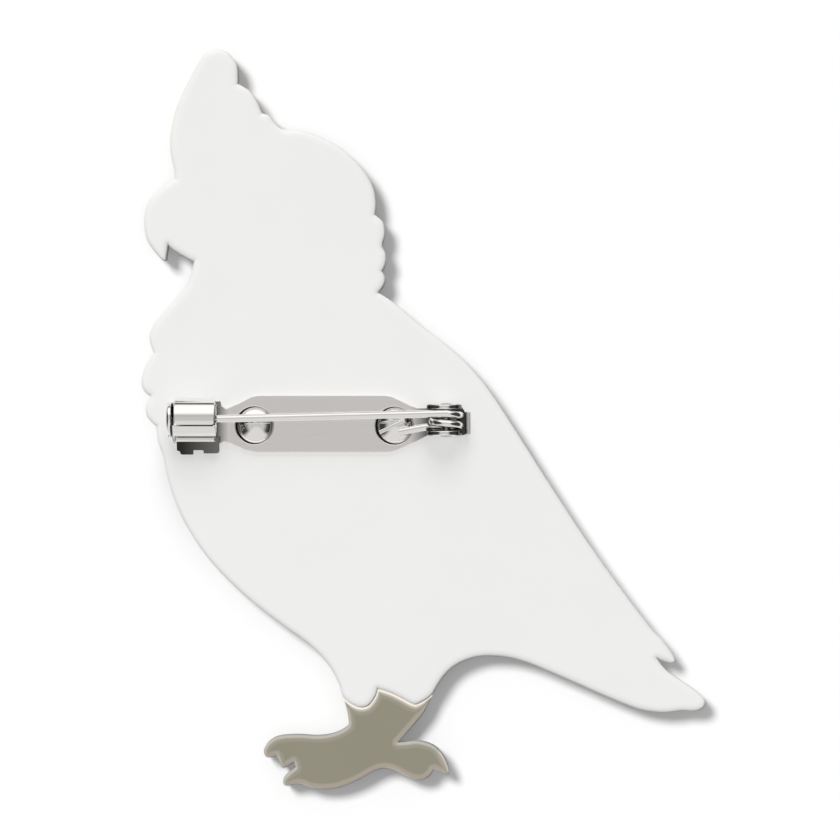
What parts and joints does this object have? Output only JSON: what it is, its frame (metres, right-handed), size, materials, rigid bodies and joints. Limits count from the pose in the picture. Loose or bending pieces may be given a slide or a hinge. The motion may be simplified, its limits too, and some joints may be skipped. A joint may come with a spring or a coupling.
{
  "type": "cockatoo brooch",
  "caption": "Layered acrylic brooch in the outline of a standing cockatoo, with a locking bar pin on its back.",
  "frame": {"origin": "under the middle of the bird's outline, on the surface that the brooch lies face down on", "axes": "+Z out of the brooch's back, +Y towards the crest, +X towards the tail"},
  "size_m": [0.0597, 0.0783, 0.0096],
  "materials": {
    "white_acrylic": "opaque white, polished, rounded back edge",
    "leg_acrylic": "grey-green, polished, paler rounded edge",
    "pearl_acrylic": "pearly white",
    "yellow_acrylic": "opaque yellow, polished",
    "pale_yellow_acrylic": "opaque pale yellow, polished",
    "dark_acrylic": "near black, polished",
    "nickel_plate": "bright nickel plate on stamped steel",
    "nickel_wire": "bright nickel plate on spring wire"
  },
  "bodies": {
    "brooch": {"body_layer": "white_acrylic", "leg_layer": "leg_acrylic", "beak_overlay": "dark_acrylic", "eye_overlay": "dark_acrylic", "cheek_overlay": "pale_yellow_acrylic", "crest_plume_1": "yellow_acrylic", "crest_plume_2": "yellow_acrylic", "crest_plume_3": "yellow_acrylic", "wing_coverts": "pearl_acrylic", "wing_feather_1": "pearl_acrylic", "wing_feather_2": "pearl_acrylic", "wing_feather_3": "pearl_acrylic", "wing_feather_4": "pearl_acrylic", "wing_feather_5": "pearl_acrylic", "tail_feather": "pearl_acrylic", "breast_overlay": "pearl_acrylic", "foot_overlay": "leg_acrylic", "base_plate": "nickel_plate", "stud_1": "nickel_plate", "stud_2": "nickel_plate", "hinge_rivet": "nickel_plate", "spring_tail": "nickel_wire"},
    "needle": {"needle": "nickel_wire"},
    "sleeve": {"catch_sleeve": "nickel_plate"}
  },
  "joints": [
    {"name": "needle_hinge", "type": "hinge", "parent": "brooch", "child": "needle", "pos_m": [0.00229, 0, 0.00683], "axis": [0, 1, 0], "range_deg": [0, 75], "deforming": ["spring_tail"]},
    {"name": "sleeve_turn", "type": "hinge", "parent": "brooch", "child": "sleeve", "pos_m": [-0.0243, -0.00007, 0.00726], "axis": [-1, 0, 0], "range_deg": [0, 90]}
  ]
}
